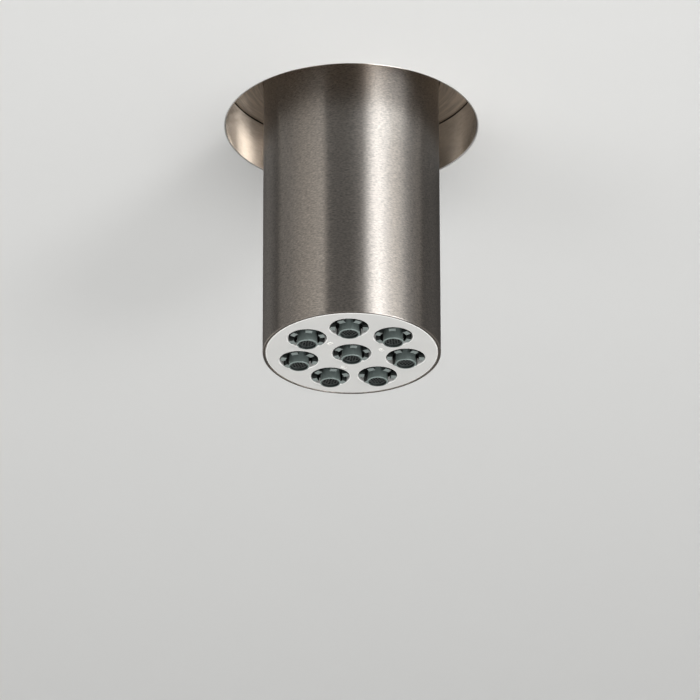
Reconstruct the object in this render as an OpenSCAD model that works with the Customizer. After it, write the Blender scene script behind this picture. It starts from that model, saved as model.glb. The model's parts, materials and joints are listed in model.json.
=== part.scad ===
// Ceiling shower head. A steel cylinder slides down out of a round recess and carries eight outlet inserts.
// The origin is the centre of the ceiling opening, in the plane of the ceiling, with +Z up.
// The head is drawn pulled down onto its stop.

/* [Body tube] */
// Outside diameter of the body tube
body_d = 74; // [67:1:84]
// Wall of the body tube
body_wall = 1.5; // [1.3:0.1:1.6]
// Wall left in front of the shoulder, beside the face plate
lip_wall = 1; // [0.6:0.1:1.2]
// Length of body that hangs below the ceiling
drop = 108; // [80:1:140]
// Chamfer on the lower edge of the body
body_chamfer = 0.3; // [0.2:0.1:0.4]

/* [Recess] */
// Diameter of the opening in the ceiling
opening_d = 106; // [100:1:120]
// Wall of the sleeve that lines the recess
sleeve_wall = 1.2; // [1:0.1:2]
// Depth of the recess, up to its roof
recess_depth = 22.6; // [19:0.2:30]
// Width of the sleeve's lower edge, which the plaster runs up to
sleeve_edge_w = 0.6; // [0.5:0.1:0.9]
// Dark joint between sleeve and roof
seam = 0.5; // [0.3:0.1:0.8]
// Thickness of the roof disc
roof_t = 2.5; // [2:0.1:4]
// Width of the rubber ring that grips the sleeve
grip_ring_w = 1.8; // [1.4:0.1:2]

/* [Ceiling frame] */
// Thickness of the ceiling board
board_t = 12.5; // [9.5:0.5:15]
// Plaster skim that covers the collar's lower edge
skim_t = 1.5; // [1:0.1:3]
// Wall of the collar
collar_wall = 2.5; // [2:0.1:3]
// Diameter of the screw flange
flange_d = 166; // [160:1:190]
// Thickness of the screw flange
flange_t = 2; // [1.5:0.1:3]
// Distance of the fixing holes from the flange's edge
fixing_edge = 9; // [8:0.5:10]
// Diameter of a fixing hole
fixing_hole_d = 5; // [4:0.5:6]
// Number of fixing holes
fixing_count = 4; // [3:1:8]
// Diameter of the bosses that take the casing screws
boss_d = 9; // [8:0.5:10]
// Number of casing screws
casing_screw_count = 6; // [4:1:8]

/* [Casing] */
// Room between body and casing for the guides
guide_gap = 4; // [3.6:0.1:5]
// Wall of the casing
casing_wall = 2; // [1.5:0.1:3]
// Thickness of the casing's two flanges
casing_flange_t = 2.5; // [2:0.1:4]
// Width of the casing's upper flange
top_flange_w = 10; // [9:0.5:14]
// Height of the wiper ring
wiper_h = 3; // [2:0.5:4]
// Height of the guide bush
bush_h = 14; // [10:1:20]
// Height of the stop buffer
buffer_h = 3; // [2:0.5:5]
// Width and depth of the rail that stops the head turning
key_w = 3; // [2:0.5:3]
// Thickness of the top cap
cap_t = 3; // [2:0.5:5]
// Number of cap screws
cap_screw_count = 4; // [3:1:6]

/* [Water inlet] */
// Bore of the inlet thread, half inch pipe
inlet_bore_d = 18.63; // [18.6:0.01:19]
// Depth of the inlet thread
inlet_thread_l = 16; // [12:1:20]
// Outside diameter of the inlet fitting
inlet_d = 26; // [25:0.5:30]
// Outside diameter of the feed pipe
feed_d = 14; // [13:0.5:14]
// Wall of the feed pipe
feed_wall = 1.5; // [1:0.1:2]
// Height of the filter screen
filter_h = 2.6; // [2:0.2:4]
// Height of the flow limiter
limiter_h = 4; // [3:0.5:6]

/* [Slide pipe] */
// Outside diameter of the slide pipe
slide_d = 20; // [19.6:0.1:22]
// Bore of the slide pipe
slide_bore_d = 16; // [15.5:0.1:16.5]
// Height of the piston's rim
piston_h = 12; // [10:1:16]
// Thickness of the piston's web
piston_web_t = 4; // [3:0.5:6]
// Height of the split guide ring in the piston
piston_ring_h = 6; // [4:0.5:7]
// Length of the piston's spigot in the body tube
spigot_h = 8; // [6:1:12]
// Height of the nut on the slide pipe
pipe_nut_h = 7; // [5:1:10]
// Width across the flats of that nut
pipe_nut_af = 30; // [27:1:34]

/* [Face plate] */
// Thickness of the face plate
plate_t = 3; // [2.5:0.1:4]
// Diameter of the plate's outlet holes
hole_d = 16.1; // [16:0.1:16.6]
// Radius of the rounded edges of the plate
plate_round = 0.5; // [0.2:0.1:0.6]
// How far the clip windows lie outside the middle between the ring and the centre
clip_offset = 0.35; // [0:0.05:0.5]
// Width of a clip window
clip_w = 2.6; // [2:0.1:3.2]
// Number of clips
clip_count = 3; // [2:1:3]
// Direction of the first clip
clip_start = -15; // [-16:1:-13]

/* [Outlet inserts] */
// Inserts on the ring, beside the one in the middle
ring_jets = 7; // [5:1:7]
// Plate left between its edge and the outlet holes
ring_margin = 5; // [4.35:0.05:5.5]
// Direction of the first insert on the ring
ring_start = 10.3; // [0:0.1:50]
// Diameter of the collar's thread
collar_d = 15.6; // [15.2:0.1:15.6]
// Length of the collar behind the face
collar_h = 11; // [10.6:0.1:12]
// Diameter of the groove round the outlet tube
groove_d = 11.3; // [11:0.1:11.5]
// Width of a lug on the collar
lug_w = 2.8; // [2:0.1:3.2]
// How far the lugs stand out of the face
lug_proud = 0.3; // [0.1:0.1:0.6]
// Depth of the notches between the lugs
notch_h = 4.6; // [2:0.1:4.6]
// Number of lugs on a collar
lug_count = 6; // [4:1:8]
// Diameter of the outlet tube's ball
ball_d = 11; // [10.8:0.1:11.2]
// Height of the ball's centre behind the face
pivot_h = 7.5; // [7.3:0.1:7.8]
// Diameter of the outlet tube at its tip
tip_d = 8.7; // [8.2:0.1:9]
// Diameter of the outlet tube's neck
neck_d = 7.8; // [7.6:0.1:8]
// How far the outlet tube stands out of the face
tip_proud = 2.9; // [2:0.1:3.5]
// Bore of the outlet tube round the stream former
tip_bore_d = 7.4; // [7:0.1:7.4]
// Bore of the outlet tube above the stream former
neck_bore_d = 6.4; // [5.6:0.1:6.4]
// Height of the stream former
former_h = 3; // [2:0.1:4]
// How deep the stream former sits in the tip
former_depth = 1; // [0.8:0.1:1.6]
// Spacing of the honeycomb cells
cell_pitch = 1.3; // [1.25:0.01:1.32]
// Wall between two honeycomb cells
cell_wall = 0.35; // [0.2:0.01:0.4]

/* [Spray chamber] */
// Thickness of the nozzle carrier
carrier_t = 11.8; // [11.5:0.1:13]
// Height of the carrier's edge under the body's shoulder
carrier_edge_h = 6.8; // [5:0.1:8]
// Diameter of the waterway behind an insert
waterway_d = 11; // [9:0.5:11]
// Height of the water space in the lid
chamber_h = 6; // [4:0.5:10]
// Thickness of the lid above the water space
lid_t = 3; // [2.5:0.5:5]
// Height of the lid's boss for the slide pipe
lid_boss_h = 8; // [7:1:12]
// Number of chamber screws
chamber_screw_count = 8; // [6:1:12]

/* [Hidden] */
$fn = 96;

// Clearances
// Running fit between a sliding piece and its guide
run_fit = 0.05;
// Room round a piece that must not rub
free_fit = 0.3;
// Joint between two pieces that are pushed together
push_fit = 0.2;
// Room at the stop
stop_gap = 0.2;
// Extra length of a cut past a face
cut = 1;

// Screws
// Radius, head radius and head height of the casing and cap screws
m4_r = 2;
m4_head_r = 3.8;
m4_head_h = 2.6;
// Radius, head radius and head height of the chamber screws
small_r = 1.25;
small_head_r = 2.2;
small_head_h = 2;
// How deep the casing and chamber screws go into their threads
thread_grip = 6;
// How far the cap screws stand out below their flange
screw_end = 1;
// Radius of a screw's hexagon socket, as a share of its head
socket_share = 0.55;

// Body
body_r = body_d / 2;
bore_r = body_r - body_wall;
lip_bore_r = body_r - lip_wall;
face_z = -drop;
travel = drop;

// Ceiling frame and recess
fixing_ring_r = flange_d / 2 - fixing_edge;
opening_r = opening_d / 2;
sleeve_r = opening_r + sleeve_wall;
collar_bore_r = sleeve_r + free_fit;
collar_r = collar_bore_r + collar_wall;
// The collar is thicker above the board, where the flange is welded round it
collar_step = 0.6;
collar_top_r = collar_r + collar_step;
flange_top_z = board_t + flange_t;
grip_ring_z = (flange_top_z + recess_depth) / 2;
// How far a boss runs into the collar's wall, and the roof past the bosses
boss_bite = 1;
roof_margin = 1;
boss_ring_r = collar_r + boss_d / 2 - boss_bite;
// The casing screws start half a step round, clear of the fixing holes
casing_screw_start = 180 / casing_screw_count;
roof_r = boss_ring_r + boss_d / 2 + roof_margin;
roof_z = recess_depth + roof_t;

// Casing
casing_bore_r = body_r + guide_gap;
casing_r = casing_bore_r + casing_wall;
top_flange_r = casing_r + top_flange_w;
cap_screw_ring_r = casing_r + top_flange_w / 2;
bush_z = roof_z + wiper_h;
buffer_z = bush_z + bush_h;
piston_z = buffer_z + buffer_h + stop_gap;

// Piston
spigot_wall = 3;
piston_ring_w = 2;

// Slide pipe and its gland
slide_r = slide_d / 2;
feed_r = feed_d / 2;
gland_wall = 0.8;
gland_r = slide_r - gland_wall;
pipe_nut_z = piston_z + piston_web_t;
slide_proud = 1;
slide_top_z = piston_z + piston_h + slide_proud;
gland_head_h = 2;
gland_screw_l = 5;
gland_seal_h = 4;
rod_guide_h = 6;
gland_seal_z = slide_top_z - gland_screw_l - gland_seal_h;
rod_guide_z = gland_seal_z - rod_guide_h;

// Face plate and its ring of outlets
plate_r = lip_bore_r - push_fit;
ring_r = plate_r - ring_margin - hole_d / 2;
clip_ring_r = ring_r / 2 + clip_offset;
// Length of a clip, and half the width of its pocket in the carrier
clip_l = 4;
clip_pocket_w = 1.2;

// Spray chamber, counted up from the face
carrier_z = face_z + plate_t + push_fit;
shoulder_z = carrier_z + carrier_edge_h;
lid_z = carrier_z + carrier_t;
lid_top_z = lid_z + chamber_h + lid_t;
chamber_r = bore_r - free_fit;
waterway_r = waterway_d / 2;
water_r = ring_r + waterway_r + push_fit;
chamber_seal_w = 1.6;
chamber_seal_land = 0.5;
chamber_seal_r = water_r + chamber_seal_land + chamber_seal_w / 2;
chamber_screw_ring_r = chamber_r - small_head_r;
// Height of the ledge in the lid that the slide pipe stands on
slide_ledge = 1;
slide_z = lid_z + chamber_h + slide_ledge;

// Feed pipe and inlet
// Room left under the feed pipe, and over the gland, with the head all the way up
feed_end_room = 8;
gland_room = 2;
feed_z = lid_z + chamber_h + travel + feed_end_room;
inlet_z = slide_top_z + gland_head_h + travel + gland_room;
inlet_neck_h = 6;
inlet_flange_h = 3;
inlet_flange_w = 4;
gasket_t = 1;
cap_z = inlet_z + inlet_neck_h + inlet_flange_h + gasket_t;
inlet_r = inlet_d / 2;
inlet_nut_h = 6;
inlet_top_z = cap_z + cap_t + inlet_nut_h + inlet_thread_l;
// How far the feed pipe's seat goes into the fitting's flange
feed_seat = 1.5;
feed_top_z = inlet_z + inlet_neck_h + feed_seat;
// Ledge at the end of the inlet thread, round the filter
filter_ledge = 0.7;
inlet_seat_r = inlet_bore_d / 2 - filter_ledge;
filter_z = inlet_top_z - inlet_thread_l - filter_h;
limiter_z = filter_z - limiter_h;
pipe_seal_w = 1.8;
pipe_seal_z = inlet_z + inlet_neck_h / 2;

// Outlet inserts, counted up from the face
jet_count = ring_jets + 1;
collar_out_r = collar_d / 2;
groove_r = groove_d / 2;
ball_r = ball_d / 2;
socket_r = ball_r + run_fit;
// How far below its centre the socket opens, and how far above it the ball is cut flat
socket_drop = 2.9;
ball_rise = 3.6;
socket_lip_h = pivot_h - socket_drop;
ball_top_h = pivot_h + ball_rise;
former_z = former_depth - tip_proud;
// Thickness of the seal behind each collar
insert_seal_t = 1;
// How far each collar is screwed round, as they come when they are tight
collar_turns = [37, 2, 6, 41, 15, 36, 1, 26];

jet_numbers = [for (i = [1:jet_count]) i];

// A ring of rectangular section, from height z and h high
module ring(r_out, r_in, z, h) {
    translate([0, 0, z])
        difference() {
            cylinder(r = r_out, h = h);
            translate([0, 0, -cut]) cylinder(r = r_in, h = h + 2 * cut);
        }
}

// Plain round hole through whatever lies between z and z + h
module hole(r, z, h) {
    translate([0, 0, z - cut]) cylinder(r = r, h = h + 2 * cut);
}

// Copies its children round a circle
module around(count, r, start = 0) {
    for (i = [0:count - 1])
        rotate([0, 0, start + i * 360 / count])
            translate([r, 0, 0])
                children();
}

// A rubber ring of round section
module round_ring(r, w, z) {
    rotate_extrude() translate([r, z]) circle(d = w, $fn = 32);
}

// A screw with its head standing on z = 0, and a hexagon socket
module screw(r, l, head_r, head_h) {
    difference() {
        union() {
            cylinder(r = head_r, h = head_h, $fn = 32);
            translate([0, 0, -l]) cylinder(r = r, h = l, $fn = 32);
        }
        translate([0, 0, head_h / 2]) cylinder(r = head_r * socket_share, h = head_h, $fn = 6);
    }
}

// A hexagon nut that stands on z = 0, with its corners turned off
module hex_nut(af, bore_radius, h) {
    turned_off = 0.3;
    corner_r = af / 2 / cos(30);
    face_r = af / 2 - turned_off;
    edge = (corner_r - face_r) * tan(30);
    difference() {
        intersection() {
            cylinder(r = corner_r, h = h, $fn = 6);
            rotate_extrude()
                polygon([
                    [0, 0], [face_r, 0], [corner_r, edge], [corner_r, h - edge], [face_r, h], [0, h]
                ]);
        }
        hole(bore_radius, 0, h);
    }
}

// The material to cut from the lower edge of a hole of radius r, to leave it rounded by f
module hole_round(r, f) {
    rotate_extrude()
        difference() {
            translate([r - cut, -cut]) square([f + cut, f + cut]);
            translate([r + f, f]) circle(r = f, $fn = 32);
        }
}

// Where insert i stands: the first in the middle, the others on the ring
module at_jet(i) {
    angle = ring_start + (i - 2) * 360 / ring_jets;
    r = i == 1 ? 0 : ring_r;
    translate([r * cos(angle), r * sin(angle), face_z]) children();
}

// Screw flange, welded round the collar
module frame_flange() {
    color("gainsboro")
        difference() {
            ring(flange_d / 2, collar_top_r, board_t, flange_t);
            around(fixing_count, fixing_ring_r, 45) hole(fixing_hole_d / 2, board_t, flange_t);
        }
}

// Collar that lines the cut-out, with the bosses that take the casing screws
module plaster_collar() {
    boss_h = recess_depth - flange_top_z;
    color("gainsboro")
        difference() {
            union() {
                rotate_extrude()
                    polygon([
                        [collar_bore_r, skim_t], [collar_r, skim_t], [collar_r, board_t],
                        [collar_top_r, board_t], [collar_top_r, recess_depth], [collar_bore_r, recess_depth]
                    ]);
                around(casing_screw_count, boss_ring_r, casing_screw_start)
                    translate([0, 0, flange_top_z]) cylinder(d = boss_d, h = boss_h, $fn = 48);
            }
            hole(collar_bore_r, skim_t, recess_depth);
            around(casing_screw_count, boss_ring_r, casing_screw_start) hole(m4_r, flange_top_z, boss_h);
            ring(collar_bore_r + grip_ring_w - free_fit, collar_bore_r - cut, grip_ring_z - grip_ring_w / 2,
                grip_ring_w);
        }
}

module trim_sleeve() {
    top = recess_depth - seam;
    edge = 0.2;
    // A rebate round the lower edge keeps the plaster
    rebate_h = 1;
    color("rosybrown")
        rotate_extrude()
            polygon([
                [opening_r + edge, 0], [opening_r + sleeve_edge_w, 0], [opening_r + sleeve_edge_w, rebate_h],
                [sleeve_r, rebate_h], [sleeve_r, top],
                [opening_r + edge, top], [opening_r, top - edge], [opening_r, edge]
            ]);
}

module sleeve_ring() {
    color("dimgray") round_ring(sleeve_r + grip_ring_w / 2, grip_ring_w, grip_ring_z);
}

module recess_roof() {
    edge = 0.5;
    hole_r = body_r + free_fit;
    color("rosybrown")
        difference() {
            rotate_extrude()
                polygon([
                    [hole_r + edge, recess_depth], [roof_r, recess_depth], [roof_r, roof_z],
                    [hole_r, roof_z], [hole_r, recess_depth + edge]
                ]);
            around(casing_screw_count, boss_ring_r, casing_screw_start)
                hole(m4_r + push_fit, recess_depth, roof_t);
        }
}

module casing() {
    color("silver") ring(casing_r, casing_bore_r, roof_z, cap_z - roof_z);
}

// Flange welded round the casing's foot
module lower_flange() {
    color("silver")
        difference() {
            ring(roof_r, casing_r, roof_z, casing_flange_t);
            around(casing_screw_count, boss_ring_r, casing_screw_start)
                hole(m4_r + push_fit, roof_z, casing_flange_t);
        }
}

// Flange welded round the casing's top, with the threads of the cap screws
module upper_flange() {
    flange_z = cap_z - casing_flange_t;
    color("silver")
        difference() {
            ring(top_flange_r, casing_r, flange_z, casing_flange_t);
            around(cap_screw_count, cap_screw_ring_r, 45) hole(m4_r, flange_z, casing_flange_t);
        }
}

module casing_screws() {
    color("lightsteelblue")
        around(casing_screw_count, boss_ring_r, casing_screw_start)
            translate([0, 0, roof_z + casing_flange_t])
                screw(m4_r, roof_t + casing_flange_t + thread_grip, m4_head_r, m4_head_h);
}

module wiper_ring() {
    color("dimgray") ring(casing_bore_r, body_r + run_fit, roof_z, wiper_h);
}

module guide_bush() {
    color("ivory") ring(casing_bore_r, body_r + run_fit, bush_z, bush_h);
}

module stop_buffer() {
    color("dimgray") ring(casing_bore_r, body_r + free_fit, buffer_z, buffer_h);
}

// The rail's section, grown by a clearance to cut its slot
module key_section(grow) {
    translate([casing_bore_r - key_w - grow, -key_w / 2 - grow]) square([key_w + 2 * grow, key_w + 2 * grow]);
}

module key_rail() {
    foot_room = 1;
    foot_z = piston_z + foot_room;
    color("silver")
        translate([0, 0, foot_z])
            linear_extrude(cap_z - foot_z)
                intersection() {
                    key_section(0);
                    circle(r = casing_bore_r);
                }
}

module top_cap() {
    color("silver")
        difference() {
            translate([0, 0, cap_z]) cylinder(r = top_flange_r, h = cap_t);
            hole(inlet_r + push_fit, cap_z, cap_t);
            around(cap_screw_count, cap_screw_ring_r, 45) hole(m4_r + push_fit, cap_z, cap_t);
        }
}

module cap_screws() {
    color("lightsteelblue")
        around(cap_screw_count, cap_screw_ring_r, 45)
            translate([0, 0, cap_z + cap_t])
                screw(m4_r, cap_t + casing_flange_t + screw_end, m4_head_r, m4_head_h);
}

module inlet_fitting() {
    thread_z = inlet_top_z - inlet_thread_l;
    neck_wall = 1.2;
    neck_r = feed_r + pipe_seal_w + neck_wall;
    flange_r = inlet_r + inlet_flange_w;
    flange_z = inlet_z + inlet_neck_h;
    edge = 0.8;
    flat_depth = 1;
    flat_l = 9.6;
    color("goldenrod")
        difference() {
            rotate_extrude()
                polygon([
                    [0, inlet_z], [neck_r, inlet_z], [neck_r, flange_z], [flange_r, flange_z],
                    [flange_r, flange_z + inlet_flange_h], [inlet_r, flange_z + inlet_flange_h],
                    [inlet_r, inlet_top_z - edge], [inlet_r - edge, inlet_top_z], [0, inlet_top_z]
                ]);
            hole(feed_r - feed_wall, inlet_z, inlet_top_z - inlet_z);
            hole(feed_r + run_fit, inlet_z - cut, feed_top_z - inlet_z);
            hole(inlet_seat_r, limiter_z + cut, inlet_top_z - limiter_z);
            hole(inlet_bore_d / 2, thread_z + cut, inlet_thread_l);
            ring(feed_r + pipe_seal_w, feed_r - cut, pipe_seal_z - pipe_seal_w / 2, pipe_seal_w);
            // Two flats for a spanner
            for (side = [0, 180])
                rotate([0, 0, side])
                    translate([inlet_r - flat_depth, -inlet_r, inlet_top_z - flat_l])
                        cube([inlet_r, inlet_d, flat_l + cut]);
        }
}

module inlet_gasket() {
    color("firebrick")
        ring(inlet_r + inlet_flange_w, inlet_r + push_fit, cap_z - gasket_t, gasket_t);
}

module inlet_nut() {
    nut_af = inlet_d + 2 * inlet_flange_w;
    color("goldenrod")
        translate([0, 0, cap_z + cap_t]) hex_nut(nut_af, inlet_r, inlet_nut_h);
}

module filter_screen() {
    mesh_pitch = 2.2;
    web = 0.6;
    rim = 1.2;
    color("lightgray") {
        ring(inlet_seat_r, inlet_seat_r - rim, filter_z, filter_h);
        translate([0, 0, filter_z])
            linear_extrude(web)
                difference() {
                    circle(r = inlet_seat_r - rim / 2);
                    honeycomb_cells(mesh_pitch, mesh_pitch - web, 3, inlet_seat_r - rim - mesh_pitch / 2);
                }
    }
}

module flow_limiter() {
    middle_hole_r = 1.6;
    outer_hole_r = 0.9;
    outer_ring_r = 4.4;
    color("darkslategray")
        difference() {
            translate([0, 0, limiter_z]) cylinder(r = inlet_seat_r, h = limiter_h);
            hole(middle_hole_r, limiter_z, limiter_h);
            around(6, outer_ring_r) hole(outer_hole_r, limiter_z, limiter_h);
        }
}

module feed_pipe() {
    color("goldenrod") ring(feed_r, feed_r - feed_wall, feed_z, feed_top_z - feed_z);
}

module feed_pipe_seal() {
    color("dimgray") round_ring(feed_r + pipe_seal_w / 2, pipe_seal_w, pipe_seal_z);
}

module body_tube() {
    c = body_chamfer;
    color("tan")
        rotate_extrude()
            polygon([
                [lip_bore_r, face_z], [body_r - c, face_z], [body_r, face_z + c], [body_r, piston_z],
                [bore_r, piston_z], [bore_r, shoulder_z], [lip_bore_r, shoulder_z]
            ]);
}

module piston() {
    rim_r = casing_bore_r - free_fit;
    hollow_r = bore_r - spigot_wall;
    groove_z = piston_z + (piston_h - piston_ring_h) / 2;
    vent_r = 3;
    // The vents lie clear of the nut in the middle
    vent_offset = 1;
    vent_ring_r = (slide_r + bore_r) / 2 + vent_offset;
    color("ivory")
        difference() {
            union() {
                ring(rim_r, hollow_r, piston_z, piston_h);
                ring(rim_r, slide_r, piston_z, piston_web_t);
                ring(bore_r, hollow_r, piston_z - spigot_h, spigot_h);
            }
            ring(rim_r + cut, casing_bore_r - piston_ring_w, groove_z, piston_ring_h);
            // Vents, so that air passes as the head slides
            around(6, vent_ring_r) hole(vent_r, piston_z, piston_web_t);
            translate([0, 0, piston_z - spigot_h - cut])
                linear_extrude(spigot_h + piston_h + 2 * cut)
                    intersection() {
                        key_section(free_fit);
                        translate([body_r, -key_w]) square(2 * key_w);
                    }
        }
}

module piston_ring() {
    ring_z = piston_z + (piston_h - piston_ring_h) / 2;
    color("dimgray")
        difference() {
            ring(casing_bore_r - run_fit, casing_bore_r - piston_ring_w, ring_z, piston_ring_h);
            translate([0, 0, ring_z - cut])
                linear_extrude(piston_ring_h + 2 * cut)
                    key_section(free_fit);
        }
}

module slide_pipe() {
    color("goldenrod")
        difference() {
            ring(slide_r, slide_bore_d / 2, slide_z, slide_top_z - slide_z);
            hole(gland_r, rod_guide_z + cut, slide_top_z - rod_guide_z);
        }
}

module pipe_nut() {
    color("goldenrod")
        translate([0, 0, pipe_nut_z]) hex_nut(pipe_nut_af, slide_r, pipe_nut_h);
}

module rod_guide() {
    color("ivory") ring(gland_r, feed_r + run_fit, rod_guide_z, rod_guide_h);
}

module gland_seal() {
    color("dimgray") ring(gland_r, feed_r + run_fit, gland_seal_z, gland_seal_h);
}

module gland_screw() {
    slot_w = 2;
    color("goldenrod")
        difference() {
            union() {
                ring(gland_r, feed_r + push_fit, slide_top_z - gland_screw_l, gland_screw_l + gland_head_h);
                ring(slide_r, feed_r + push_fit, slide_top_z, gland_head_h);
            }
            // Two slots for a spanner
            for (side = [0, 90])
                rotate([0, 0, side])
                    translate([-slide_r - cut, -slot_w / 2, slide_top_z + gland_head_h / 2])
                        cube([slide_d + 2 * cut, slot_w, gland_head_h]);
        }
}

module chamber_lid() {
    boss_wall = 4;
    boss_r = slide_r + boss_wall;
    color("goldenrod")
        difference() {
            union() {
                translate([0, 0, lid_z]) cylinder(r = chamber_r, h = chamber_h + lid_t);
                translate([0, 0, lid_top_z]) cylinder(r = boss_r, h = lid_boss_h);
            }
            translate([0, 0, lid_z - cut]) cylinder(r = water_r, h = chamber_h + cut);
            hole(slide_bore_d / 2, lid_z, lid_top_z - lid_z);
            hole(slide_r, slide_z + cut, lid_boss_h + lid_t);
            around(chamber_screw_count, chamber_screw_ring_r)
                hole(small_r + push_fit / 2, lid_z, chamber_h + lid_t);
        }
}

module chamber_seal() {
    color("dimgray") round_ring(chamber_seal_r, chamber_seal_w, lid_z - chamber_seal_w / 2);
}

module chamber_screws() {
    color("lightsteelblue")
        around(chamber_screw_count, chamber_screw_ring_r)
            translate([0, 0, lid_top_z])
                screw(small_r, chamber_h + lid_t + thread_grip, small_head_r, small_head_h);
}

// Seat of one insert in the carrier, counted up from the face
module insert_seat() {
    seat_top = collar_h + insert_seal_t;
    translate([0, 0, plate_t]) cylinder(r = collar_out_r + run_fit, h = seat_top - plate_t);
    translate([0, 0, plate_t]) cylinder(r = waterway_r, h = carrier_t + 2 * cut);
}

module nozzle_carrier() {
    color("goldenrod")
        difference() {
            union() {
                translate([0, 0, carrier_z]) cylinder(r = lip_bore_r - push_fit / 2, h = carrier_edge_h);
                translate([0, 0, carrier_z]) cylinder(r = chamber_r, h = carrier_t);
            }
            for (i = jet_numbers) at_jet(i) insert_seat();
            ring(chamber_seal_r + chamber_seal_w / 2, chamber_seal_r - chamber_seal_w / 2,
                lid_z - chamber_seal_w, chamber_seal_w + cut);
            around(chamber_screw_count, chamber_screw_ring_r)
                hole(small_r, lid_z - thread_grip + cut, thread_grip);
            around(clip_count, clip_ring_r, clip_start)
                translate([0, 0, carrier_z - cut])
                    linear_extrude(clip_l + cut)
                        square([2 * clip_pocket_w, clip_w + 2 * push_fit], center = true);
        }
}

// One clip behind the plate, beside the window under it
module clip() {
    leg_t = clip_pocket_w - push_fit;
    root = 0.2;
    translate([-leg_t, -clip_w / 2, plate_t - root]) cube([leg_t, clip_w, clip_l - push_fit]);
}

// The tongue in a clip window. It grows out of the window's inner wall and leaves a gap round its other sides
module clip_tongue(window_l) {
    gap = 0.3;
    depth = 0.9;
    translate([-gap, gap - clip_w / 2, depth])
        cube([window_l, clip_w - 2 * gap, plate_t - depth]);
}

module face_plate() {
    window_l = 2;
    color("whitesmoke")
        translate([0, 0, face_z]) {
            difference() {
                union() {
                    cylinder(r = plate_r, h = plate_t);
                    around(clip_count, clip_ring_r, clip_start) clip();
                }
                rotate_extrude()
                    difference() {
                        translate([plate_r - plate_round, -cut]) square([2 * cut, plate_round + cut]);
                        translate([plate_r - plate_round, plate_round]) circle(r = plate_round, $fn = 32);
                    }
                for (i = jet_numbers)
                    translate([0, 0, -face_z]) at_jet(i) {
                        hole(hole_d / 2, 0, plate_t);
                        hole_round(hole_d / 2, plate_round);
                    }
                around(clip_count, clip_ring_r, clip_start)
                    translate([0, 0, -cut])
                        linear_extrude(plate_t + 2 * cut)
                            translate([window_l / 2, 0]) square([window_l, clip_w], center = true);
            }
            around(clip_count, clip_ring_r, clip_start) clip_tongue(window_l);
        }
}

module nozzle_seals() {
    seal_bore_r = sqrt(ball_r * ball_r - pow(collar_h - pivot_h, 2)) + push_fit;
    color("dimgray")
        for (i = jet_numbers)
            at_jet(i) ring(collar_out_r, seal_bore_r, collar_h, insert_seal_t);
}

// A castellated collar, with the socket for the outlet tube's ball
module nozzle_collar(i) {
    color("slategray")
        at_jet(i)
            difference() {
                translate([0, 0, -lug_proud]) cylinder(r = collar_out_r, h = collar_h + lug_proud);
                // Groove round the outlet tube
                hole(groove_r, -lug_proud, socket_lip_h + lug_proud - cut);
                // Socket: a sphere below its middle, open above it
                translate([0, 0, pivot_h]) sphere(r = socket_r);
                hole(socket_r, pivot_h + cut, collar_h - pivot_h);
                // Notches between the lugs
                difference() {
                    translate([0, 0, -lug_proud - cut]) cylinder(r = collar_out_r + cut, h = notch_h + cut);
                    for (k = [0:lug_count - 1])
                        rotate([0, 0, collar_turns[i - 1] + k * 360 / lug_count])
                            translate([0, -lug_w / 2, -lug_proud - 2 * cut])
                                cube([collar_out_r + 2 * cut, lug_w, notch_h + 3 * cut]);
                }
            }
}

// An outlet tube: rounded tip, tapering neck and ball
module jet_tube(i) {
    tip_r = tip_d / 2;
    neck_r = neck_d / 2;
    lip = 0.3;
    // What the tip's flat end and its neck share
    overlap = 0.1;
    former_top_h = former_z + former_h;
    color("darkslategray")
        at_jet(i)
            rotate_extrude()
                difference() {
                    union() {
                        polygon([
                            [0, -tip_proud + lip], [tip_r, -tip_proud + lip],
                            [neck_r, socket_lip_h], [neck_r, pivot_h], [0, pivot_h]
                        ]);
                        translate([0, -tip_proud]) square([tip_r - lip, lip + overlap]);
                        translate([tip_r - lip, -tip_proud + lip]) circle(r = lip, $fn = 24);
                        intersection() {
                            translate([0, pivot_h]) circle(r = ball_r);
                            translate([0, socket_lip_h]) square([ball_d, ball_top_h - socket_lip_h]);
                        }
                    }
                    translate([-ball_d, -tip_proud - cut]) square([ball_d, ball_top_h + 2 * tip_proud]);
                    translate([-1, -tip_proud - cut])
                        square([tip_bore_d / 2 + 1, former_top_h + tip_proud + cut]);
                    translate([-1, 0]) square([neck_bore_d / 2 + 1, ball_top_h + cut]);
                }
}

// Cells of a honeycomb, in rings round the middle one, as far as r
module honeycomb_cells(pitch, flats, rings, r) {
    for (a = [-rings:rings], b = [-rings:rings]) {
        x = pitch * (a + b / 2);
        y = pitch * b * sin(60);
        if (norm([x, y]) <= r) translate([x, y]) rotate([0, 0, 30]) circle(d = flats / cos(30), $fn = 6);
    }
}

// A honeycomb that straightens the water
module stream_former(i) {
    former_r = tip_bore_d / 2 - run_fit;
    cells_r = former_r - cell_pitch / 2;
    color("black")
        at_jet(i)
            rotate([0, 0, collar_turns[i - 1]])
                translate([0, 0, former_z])
                    linear_extrude(former_h)
                        difference() {
                            circle(r = former_r);
                            honeycomb_cells(cell_pitch, cell_pitch - cell_wall, 2, cells_r);
                        }
}

frame_flange();
plaster_collar();
trim_sleeve();
sleeve_ring();
recess_roof();
casing();
lower_flange();
upper_flange();
casing_screws();
wiper_ring();
guide_bush();
stop_buffer();
key_rail();
top_cap();
cap_screws();
inlet_fitting();
inlet_gasket();
inlet_nut();
filter_screen();
flow_limiter();
feed_pipe();
feed_pipe_seal();
body_tube();
piston();
piston_ring();
slide_pipe();
pipe_nut();
rod_guide();
gland_seal();
gland_screw();
chamber_lid();
chamber_seal();
chamber_screws();
nozzle_carrier();
face_plate();
nozzle_seals();
for (i = jet_numbers) {
    nozzle_collar(i);
    jet_tube(i);
    stream_former(i);
}
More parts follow.
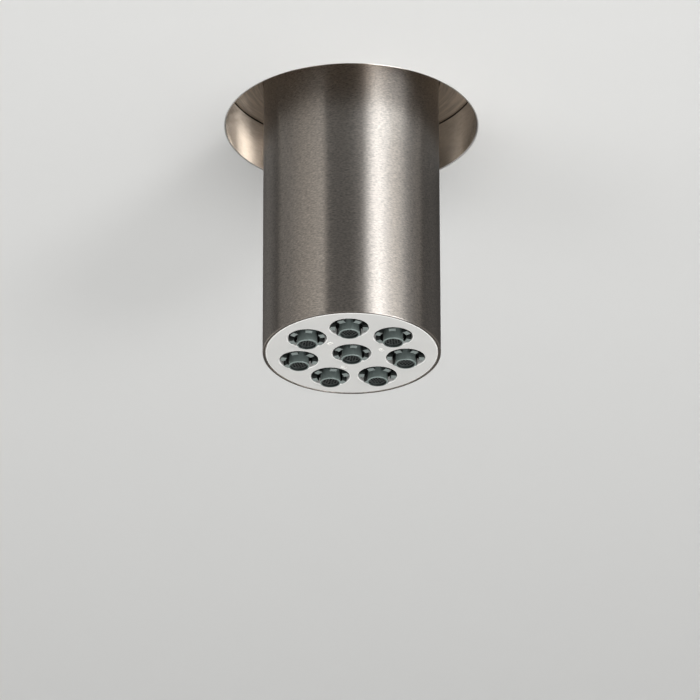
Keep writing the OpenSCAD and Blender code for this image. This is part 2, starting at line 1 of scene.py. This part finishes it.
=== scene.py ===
"""Looks of a ceiling shower head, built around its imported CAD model. Metres, +Z up, ceiling at z = 0."""
import json
import math

import bpy
from mathutils import Matrix, Vector


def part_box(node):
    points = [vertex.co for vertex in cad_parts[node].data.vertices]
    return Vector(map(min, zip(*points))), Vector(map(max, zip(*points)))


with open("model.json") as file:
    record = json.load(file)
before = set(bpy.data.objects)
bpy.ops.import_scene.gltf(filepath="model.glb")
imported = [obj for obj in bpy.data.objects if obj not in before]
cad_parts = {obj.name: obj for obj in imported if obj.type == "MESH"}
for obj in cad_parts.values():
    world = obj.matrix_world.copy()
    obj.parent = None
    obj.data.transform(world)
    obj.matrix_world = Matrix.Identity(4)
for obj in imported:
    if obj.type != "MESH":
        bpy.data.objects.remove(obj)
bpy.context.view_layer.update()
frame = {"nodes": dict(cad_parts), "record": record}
nodes = frame["nodes"]

# Camera, at the photograph's viewing angle: a long lens, well below the ceiling
CAMERA_DISTANCE = 3.0
CAMERA_ELEVATION = math.radians(27.57)
CAMERA_ROLL = math.radians(-0.104)
CAMERA_AIM = Vector((-0.00071, 0, -0.10634))
CAMERA_LENS = 371.9
CAMERA_SENSOR = 36
CAMERA_REACH = 200

# Ceiling panel, floor and backdrop
PANEL_RADIUS = 0.9
PANEL_HOLE_GAP = 0.00005
PANEL_SIDES = 192
FLOOR_Z = -2.2
FLOOR_HALF = 40
PALE = (1.0, 1.0, 0.99)
BACKDROP = 0.72
WORLD_LIGHT = 0.24

# The plaster covers the sleeve up to its narrow lower edge
SLEEVE_WALL = 0.0012
SLEEVE_EDGE = 0.0006
RECESS_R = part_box("trim_sleeve")[1].x - SLEEVE_WALL

# From here upwards, pieces are inside the plate, and their colour gets painted light or painted shade
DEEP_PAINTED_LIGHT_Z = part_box("face_plate")[0].z + 0.0008

# Surfaces. A density is the noise's cells per metre. A change is how far the noise moves the roughness up
# and down. Brushed steel mixes a coarse and a fine grain, and turned steel has rings with a few breaks
GRAIN_DEPTH = 0.00001
BRUSHED_CHANGE = 0.012
COARSE_SHARE = 0.7
FINE_TO_COARSE = 3
RING_DENSITY = 1100.0
RING_BREAKS = 3.0
# Painted shade on the roof past the opening, where the seam gap lies in shade
SEAM_PAINTED_SHADE = 0.04
SKIN_CHANGE = 0.04
SKIN_DENSITY = 900
CLOUD_DENSITY = 90

# Limits for the Z part of a face's normal, which place painted light and shade. Below LOOKS_DOWN the face
# looks down. By its size, a wall has less than UPRIGHT, and a rounded edge lies between ROUNDED and FLAT
LOOKS_DOWN = -0.9
UPRIGHT = 0.03
ROUNDED = 0.1
FLAT = 0.99


def rgba(r, g, b):
    return (r, g, b, 1.0)


def shade(colour, factor):
    return rgba(*(min(1.0, c * factor) for c in colour))


# Node graphs
class Graph:
    """A material's node tree, with short calls to add nodes and link them."""

    def __init__(self, name):
        self.material = bpy.data.materials.new(name)
        self.material.use_nodes = True
        self.tree = self.material.node_tree
        self.shader = self.tree.nodes["Principled BSDF"]

    def node(self, kind, inputs=None, **settings):
        made = self.tree.nodes.new(kind)
        for key, value in settings.items():
            setattr(made, key, value)
        for key, value in (inputs or {}).items():
            self.feed(value, made.inputs[key])
        return made

    def feed(self, value, socket):
        if isinstance(value, bpy.types.NodeSocket):
            self.tree.links.new(value, socket)
        else:
            socket.default_value = value

    def set(self, **values):
        """Feed the shader's sockets, with underscores for the spaces in their names."""
        for key, value in values.items():
            self.feed(value, self.shader.inputs[key.replace("_", " ")])

    def show(self, made):
        """Use another shader node's result as the surface."""
        self.tree.links.new(made.outputs[0], self.tree.nodes["Material Output"].inputs["Surface"])

    def place(self):
        return self.node("ShaderNodeTexCoord").outputs["Object"]

    def facing(self):
        return self.node("ShaderNodeTexCoord").outputs["Normal"]

    def parts(self, vector):
        return self.node("ShaderNodeSeparateXYZ", {"Vector": vector}).outputs

    def math(self, operation, a, b=0.0):
        made = self.node("ShaderNodeMath", {0: a, 1: b}, operation=operation)
        return made.outputs["Value"]

    def blend(self, a, b, share):
        """A mix of two numbers, with this share of the first."""
        return self.math("ADD", self.math("MULTIPLY", a, share), self.math("MULTIPLY", b, 1 - share))

    def stretch(self, vector, x, y, z):
        made = self.node("ShaderNodeMapping", {"Vector": vector, "Scale": (x, y, z)})
        return made.outputs["Vector"]

    def noise(self, vector, detail=2.0, roughness=0.5):
        inputs = {"Vector": vector, "Scale": 1.0, "Detail": detail, "Roughness": roughness}
        return self.node("ShaderNodeTexNoise", inputs).outputs["Fac"]

    def spread(self, value, low, high, start=0.3, end=0.7):
        """Move the range from start to end, where most of a noise lies, to that from low to high."""
        inputs = {"Value": value, "From Min": start, "From Max": end, "To Min": low, "To Max": high}
        return self.node("ShaderNodeMapRange", inputs).outputs["Result"]

    def mix(self, factor, a, b):
        """Mix two colours. The node has sockets of one name for each type, so these go by number."""
        made = self.node("ShaderNodeMix", data_type="RGBA")
        self.feed(factor, made.inputs[0])
        self.feed(a, made.inputs[6])
        self.feed(b, made.inputs[7])
        return made.outputs[2]

    def vary(self, noise, colour, contrast):
        """The colour, made darker and lighter by the noise."""
        factor = self.spread(noise, 0.0, 1.0)
        return self.mix(factor, shade(colour, 1 - contrast), shade(colour, 1 + contrast))

    def bump(self, height, distance, strength):
        inputs = {"Height": height, "Distance": distance, "Strength": strength}
        return self.node("ShaderNodeBump", inputs).outputs["Normal"]

    def round_tangent(self):
        return self.node("ShaderNodeTangent", direction_type="RADIAL", axis="Z").outputs["Tangent"]


# Steel brushed round the Z axis: the grain runs round, so highlights stretch along Z
def brushed_round(name, colour, roughness, rim_painted_light, contrast=0.5, length=820, width=3000, bump=0.08):
    g = Graph(name)
    place = g.place()
    coarse_grain = g.noise(g.stretch(place, length, length, width), detail=3.0, roughness=0.6)
    length, width = length * FINE_TO_COARSE, width * FINE_TO_COARSE
    fine_grain = g.noise(g.stretch(place, length, length, width), roughness=0.6)
    grain = g.blend(coarse_grain, fine_grain, COARSE_SHARE)
    # The cut edge that faces down gets painted shade where its factor is below 1 and a painted highlight
    # where it is above 1
    painted_rim_mask = g.math("LESS_THAN", g.parts(g.facing())["Z"], LOOKS_DOWN)
    g.set(
        Base_Color=g.mix(painted_rim_mask, g.vary(grain, colour, contrast), shade(colour, rim_painted_light)), Metallic=1.0,
        Anisotropic=0.97, Anisotropic_Rotation=0.25,
        Roughness=g.spread(grain, roughness + BRUSHED_CHANGE, roughness - BRUSHED_CHANGE),
        Tangent=g.round_tangent(), Normal=g.bump(grain, GRAIN_DEPTH, strength=bump),
    )
    return g.material


# Steel turned flat: the grain lies in rings round the Z axis, and past the given radius it is darkened with
# painted shade for the seam gap
def turned_flat(name, colour, roughness, shade_from_r, contrast=0.3):
    g = Graph(name)
    place = g.parts(g.place())
    x, y = place["X"], place["Y"]
    radius = g.math("SQRT", g.math("ADD", g.math("MULTIPLY", x, x), g.math("MULTIPLY", y, y)))
    rings = g.node("ShaderNodeCombineXYZ", {
        "X": g.math("MULTIPLY", radius, RING_DENSITY),
        "Y": g.math("MULTIPLY", g.math("DIVIDE", x, radius), RING_BREAKS),
        "Z": g.math("MULTIPLY", g.math("DIVIDE", y, radius), RING_BREAKS),
    }).outputs["Vector"]
    grain = g.noise(rings, detail=3.0, roughness=0.65)
    # Past this radius the roof gets painted shade
    seam_painted_shade_mask = g.math("GREATER_THAN", radius, shade_from_r)
    g.set(
        Base_Color=g.mix(seam_painted_shade_mask, g.vary(grain, colour, contrast), shade(colour, SEAM_PAINTED_SHADE)), Metallic=1.0,
        Anisotropic=0.9, Anisotropic_Rotation=0.25,
        Roughness=g.spread(grain, roughness - SKIN_CHANGE, roughness + SKIN_CHANGE),
        Tangent=g.round_tangent(), Normal=g.bump(grain, GRAIN_DEPTH, strength=0.4),
    )
    return g.material


# Zinc, in flakes that differ in tone
def galvanised(name, dark=(0.37, 0.39, 0.40), light=(0.70, 0.72, 0.73), flakes=260, clouds=60):
    g = Graph(name)
    place = g.place()
    cells = g.node("ShaderNodeTexVoronoi", {"Vector": place, "Scale": flakes}).outputs["Color"]
    flake = g.node("ShaderNodeSeparateColor", {"Color": cells}).outputs["Red"]
    cloud = g.noise(g.stretch(place, clouds, clouds, clouds), detail=4.0, roughness=0.6)
    tone = g.blend(flake, cloud, 0.5)
    g.set(
        Base_Color=g.mix(tone, rgba(*dark), rgba(*light)), Metallic=1.0,
        Roughness=g.spread(tone, 0.42, 0.56, start=0.2, end=0.8),
        Normal=g.bump(cloud, 4 * GRAIN_DEPTH, strength=0.25),
    )
    return g.material


def plated(name, dark=(0.58, 0.58, 0.57), light=(0.74, 0.74, 0.73), clouds=400):
    g = Graph(name)
    cloud = g.noise(g.stretch(g.place(), clouds, clouds, clouds), detail=3.0)
    g.set(
        Base_Color=g.mix(cloud, rgba(*dark), rgba(*light)), Metallic=1.0,
        Roughness=g.spread(cloud, 0.22, 0.34),
    )
    return g.material


# Brass with the fine rings that a lathe leaves
def machined_brass(name, dark=(0.62, 0.45, 0.20), light=(0.80, 0.62, 0.32), clouds=60, rings=3000):
    g = Graph(name)
    lines = g.noise(g.stretch(g.place(), clouds, clouds, rings))
    g.set(
        Base_Color=g.mix(lines, rgba(*dark), rgba(*light)), Metallic=1.0,
        Roughness=g.spread(lines, 0.22, 0.36), Normal=g.bump(lines, GRAIN_DEPTH, strength=0.3),
    )
    return g.material


# Moulded plastic or rubber: a small change of tone, and a fine skin. Upright walls, rounded edges and what
# is inside the plate get painted light or painted shade, lighter or darker than the rest by these factors
def moulded(name, colour, roughness, change=0.06, upright_painted_light=1.0, rounding_painted_light=1.0, deep_painted_light=1.0):
    g = Graph(name)
    place = g.place()
    cloud = g.noise(g.stretch(place, CLOUD_DENSITY, CLOUD_DENSITY, CLOUD_DENSITY))
    skin = g.noise(g.stretch(place, SKIN_DENSITY, SKIN_DENSITY, SKIN_DENSITY), detail=3.0, roughness=0.6)
    tint = g.vary(cloud, colour, change)
    level = g.math("ABSOLUTE", g.parts(g.facing())["Z"])
    # Rounded edges get a painted highlight or painted shade
    if rounding_painted_light != 1.0:
        not_wall = g.math("GREATER_THAN", level, ROUNDED)
        not_flat = g.math("LESS_THAN", level, FLAT)
        tint = g.mix(g.math("MULTIPLY", not_wall, not_flat), tint, shade(colour, rounding_painted_light))
    # Upright walls get painted light or painted shade
    if upright_painted_light != 1.0:
        tint = g.mix(g.math("LESS_THAN", level, UPRIGHT), tint, shade(colour, upright_painted_light))
    # What is inside the plate gets painted light or painted shade
    if deep_painted_light != 1.0:
        tint = g.mix(g.math("GREATER_THAN", g.parts(place)["Z"], DEEP_PAINTED_LIGHT_Z), tint, shade(colour, deep_painted_light))
    g.set(
        Base_Color=tint, Roughness=g.spread(skin, roughness - SKIN_CHANGE, roughness + SKIN_CHANGE),
        Normal=g.bump(skin, GRAIN_DEPTH, strength=0.5),
    )
    return g.material


MATERIALS = {
    # The body's cut edge that faces down is darkened with painted shade
    "body_steel": brushed_round("body_steel", (0.608, 0.555, 0.502), 0.295, rim_painted_light=0.35),
    # The sleeve's cut edge that faces down is lightened with a painted highlight
    "recess_steel": brushed_round(
        "recess_steel", (0.80, 0.79, 0.775), 0.19, rim_painted_light=1.3, contrast=0.2, length=250, width=2400, bump=0.06
    ),
    "galvanised_steel": galvanised("galvanised_steel"),
    "screw_steel": plated("screw_steel"),
    "brass": machined_brass("brass"),
    "rubber": moulded("rubber", (0.03, 0.03, 0.03), 0.7),
    "fibre": moulded("fibre", (0.34, 0.07, 0.045), 0.85, change=0.2),
    "bearing_plastic": moulded("bearing_plastic", (0.72, 0.70, 0.62), 0.5),
    # The plate's upright walls and what is inside it get painted light, and its rounded edges a painted
    # highlight
    "plate_plastic": moulded(
        "plate_plastic", (0.625, 0.622, 0.605), 0.42, change=0.015, upright_painted_light=1.5, rounding_painted_light=1.4, deep_painted_light=1.5
    ),
    # The collars' upright walls and what is inside the plate are darkened with painted shade
    "collar_plastic": moulded("collar_plastic", (0.22, 0.255, 0.245), 0.3, upright_painted_light=0.12, deep_painted_light=0.05),
    # The jets' upright walls, their bores among them, are darkened with painted shade, and their rounded
    # rims get a painted highlight
    "jet_plastic": moulded("jet_plastic", (0.15, 0.182, 0.174), 0.2, upright_painted_light=0.22, rounding_painted_light=1.6),
    # The former's upright walls are darkened with painted shade
    "former_plastic": moulded("former_plastic", (0.042, 0.048, 0.046), 0.45, upright_painted_light=0.05),
}
# Nodes that don't look like the rest of their slot
OWN_MATERIALS = {
    "recess_roof": turned_flat("turned_steel", (0.54, 0.445, 0.355), 0.36, RECESS_R),
    # The carrier's brass is darkened all over with painted shade, for the shade around the collars
    "nozzle_carrier": machined_brass("shaded_brass", (0.10, 0.085, 0.06), (0.15, 0.13, 0.10)),
}
slots = {part["node"]: part["material_slot"] for part in frame["record"]["subparts"]}
for name, obj in nodes.items():
    for holder in obj.material_slots:
        holder.material = OWN_MATERIALS.get(name, MATERIALS[slots[name]])


# Meshes of the stage
def link(obj):
    bpy.context.scene.collection.objects.link(obj)
    return obj


def mesh_object(name, vertices, faces, material):
    mesh = bpy.data.meshes.new(name)
    mesh.from_pydata(vertices, [], faces)
    mesh.update()
    mesh.materials.append(material)
    return link(bpy.data.objects.new(name, mesh))


def ring_points(radius, z, count):
    turns = [2 * math.pi * i / count for i in range(count)]
    return [(radius * math.cos(turn), radius * math.sin(turn), z) for turn in turns]


# Faces between two rings of points. They look down where the first ring is the inner one
def band(name, first, second, material):
    count = len(first)
    faces = [(i, (i + 1) % count, count + (i + 1) % count, count + i) for i in range(count)]
    return mesh_object(name, first + second, faces, material)


# Pale ceiling round the opening, clear from above
def panel_material():
    g = Graph("ceiling_panel")
    g.set(Base_Color=rgba(0.72, 0.72, 0.71), Roughness=0.9)
    from_above = g.node("ShaderNodeNewGeometry").outputs["Backfacing"]
    clear = g.node("ShaderNodeBsdfTransparent")
    g.show(g.node("ShaderNodeMixShader", {0: from_above, 1: g.shader.outputs[0], 2: clear.outputs[0]}))
    return g.material


# Pale floor far below, of one even tone with the backdrop where the camera sees it
def floor_material():
    g = Graph("floor")
    g.set(Base_Color=rgba(0.8, 0.8, 0.79), Roughness=0.9)
    glow = g.node("ShaderNodeEmission", {"Color": rgba(*PALE), "Strength": BACKDROP})
    seen = g.node("ShaderNodeLightPath").outputs["Is Camera Ray"]
    g.show(g.node("ShaderNodeMixShader", {0: seen, 1: g.shader.outputs[0], 2: glow.outputs[0]}))
    return g.material


panel = band(
    "ceiling_panel", ring_points(RECESS_R + SLEEVE_EDGE + PANEL_HOLE_GAP, 0.0, PANEL_SIDES),
    ring_points(PANEL_RADIUS, 0.0, PANEL_SIDES), panel_material()
)
panel.visible_glossy = False
floor = mesh_object("floor", [
    (-FLOOR_HALF, -FLOOR_HALF, FLOOR_Z), (FLOOR_HALF, -FLOOR_HALF, FLOOR_Z),
    (FLOOR_HALF, FLOOR_HALF, FLOOR_Z), (-FLOOR_HALF, FLOOR_HALF, FLOOR_Z),
], [(0, 1, 2, 3)], floor_material())

# Soft boxes and dark flags that the steel mirrors, as a drum of two rows round the object, with a floor and
# a lid. A row gives angles in degrees from the camera's side (-Y) towards +X, with the strength there
DRUM_RADIUS = 1.2
DRUM_TOP = 2.0
DRUM_SPLIT = -0.3
DRUM_BOTTOM = -1.2
DRUM_SIDES = 96
DRUM_END_SIDES = 48
HIGH_ROW = (
    (-180, 0.02), (-150, 0.12), (-130, 0.17), (-108, 0.06), (-102, 0.05), (-100, 0.44), (-98, 0.44),
    (-96, 0.18), (-60, 0.36), (-46, 0.41), (-36, 0.49), (-31, 0.13), (0, 0.125), (14, 0.24), (28, 1.25),
    (38, 1.28), (46, 0.86), (54, 0.59), (63, 0.42), (72, 0.24), (82, 0.22), (90, 0.18), (92, 0.36),
    (95, 0.36), (97, 0.08), (125, 0.10), (150, 0.06), (180, 0.02),
)
LOW_ROW = (
    (-180, 0.30), (-160, 0.30), (-145, 0.45), (-120, 0.45), (-104, 0.25), (-84, 0.30), (-60, 0.80),
    (-36, 1.10), (-31, 0.05), (17, 0.05), (32, 6.40), (66, 6.40), (74, 2.00), (84, 0.25), (97, 0.20),
    (112, 0.30), (180, 0.30),
)
DRUM_LID = ((-180, 0.5), (180, 0.5))
DRUM_FLOOR = ((-180, 0.3), (180, 0.3))
# Tints, each for strengths above a limit: soft boxes are a little cool, the room that they light is a little
# warm, and flags are plain
CARD_TINTS = ((0.8, (0.935, 0.965, 1.0)), (0.25, (1.0, 0.965, 0.92)), (0.0, (1.0, 1.0, 1.0)))


def card_tint(strength):
    return next(tint for limit, tint in CARD_TINTS if strength > limit)


def card_material(name, row):
    g = Graph(name)
    place = g.parts(g.place())
    # Turns from -Y towards +X
    angle = g.math("ARCTAN2", place["X"], g.math("MULTIPLY", place["Y"], -1.0))
    turn = g.math("ADD", g.math("DIVIDE", angle, 2 * math.pi), 0.5)
    ramp = g.node("ShaderNodeValToRGB", {"Fac": turn})
    stops = ramp.color_ramp.elements
    while len(stops) > 1:
        stops.remove(stops[0])
    top = max(strength for degrees, strength in row)
    for k, (degrees, strength) in enumerate(row):
        position = degrees / 360 + 0.5
        stop = stops[0] if k == 0 else stops.new(position)
        stop.position = position
        stop.color = shade(card_tint(strength), strength / top)
    g.show(g.node("ShaderNodeEmission", {"Color": ramp.outputs["Color"], "Strength": top}))
    return g.material


def show_in_reflections_only(card):
    card.visible_camera = False
    card.visible_diffuse = False
    card.visible_transmission = False
    card.visible_volume_scatter = False
    card.visible_shadow = False


def drum_row(name, low, high, row):
    rings = [ring_points(DRUM_RADIUS, z, DRUM_SIDES) for z in (high, low)]
    show_in_reflections_only(band(name, *rings, card_material(name, row)))


def drum_end(name, z, row):
    face = tuple(range(DRUM_END_SIDES))
    points = ring_points(DRUM_RADIUS, z, DRUM_END_SIDES)
    show_in_reflections_only(mesh_object(name, points, [face], card_material(name, row)))


drum_row("reflections_high", DRUM_SPLIT, DRUM_TOP, HIGH_ROW)
drum_row("reflections_low", DRUM_BOTTOM, DRUM_SPLIT, LOW_ROW)
drum_end("reflections_floor", DRUM_BOTTOM, DRUM_FLOOR)
drum_end("reflections_lid", DRUM_TOP, DRUM_LID)


def soft_lamp(name, place, size, watts, target=(0, 0, 0), mirrored=False):
    data = bpy.data.lights.new(name, "AREA")
    data.shape = "DISK"
    data.size = size
    data.energy = watts
    lamp = link(bpy.data.objects.new(name, data))
    lamp.location = place
    lamp.rotation_euler = (Vector(target) - Vector(place)).to_track_quat("-Z", "Y").to_euler()
    lamp.visible_glossy = mirrored


soft_lamp("low_lamp", (0.1, -0.5, -1.9), size=1.6, watts=22)
soft_lamp("key_lamp", (0.9, -1.3, -1.0), size=0.5, watts=9, mirrored=True)
soft_lamp("fill_lamp", (-1.2, -0.9, -1.4), size=1.0, watts=5)
soft_lamp("top_lamp", (-0.8, -1.0, 1.8), size=1.0, watts=26, target=(0, 0, 0.1))
soft_lamp("back_lamp", (0.9, 1.4, 1.2), size=1.0, watts=16, target=(0, 0, 0.1))


# Pale where the camera sees it, dimmer as a light
def set_world():
    world = bpy.data.worlds.new("studio")
    bpy.context.scene.world = world
    world.use_nodes = True
    tree = world.node_tree
    background = tree.nodes["Background"]
    background.inputs["Color"].default_value = rgba(*PALE)
    seen = tree.nodes.new("ShaderNodeLightPath").outputs["Is Camera Ray"]
    strength = tree.nodes.new("ShaderNodeMapRange")
    strength.inputs["To Min"].default_value = WORLD_LIGHT
    strength.inputs["To Max"].default_value = BACKDROP
    tree.links.new(seen, strength.inputs["Value"])
    tree.links.new(strength.outputs["Result"], background.inputs["Strength"])


# Looks up at the object from the front, and is rolled a little round its own axis
def set_camera():
    data = bpy.data.cameras.new("camera")
    data.lens = CAMERA_LENS
    data.sensor_width = CAMERA_SENSOR
    data.clip_end = CAMERA_REACH
    camera = link(bpy.data.objects.new("camera", data))
    ahead = Vector((0, math.cos(CAMERA_ELEVATION), math.sin(CAMERA_ELEVATION)))
    right = Vector((1, 0, 0))
    up = right.cross(ahead)
    rolled_right = right * math.cos(CAMERA_ROLL) + up * math.sin(CAMERA_ROLL)
    rolled_up = up * math.cos(CAMERA_ROLL) - right * math.sin(CAMERA_ROLL)
    axes = Matrix((rolled_right, rolled_up, -ahead)).transposed()
    place = CAMERA_AIM - ahead * CAMERA_DISTANCE
    camera.matrix_world = Matrix.Translation(place) @ axes.to_4x4()
    bpy.context.scene.camera = camera


set_world()
set_camera()
bpy.context.scene.view_settings.view_transform = "Standard"
bpy.context.view_layer.update()
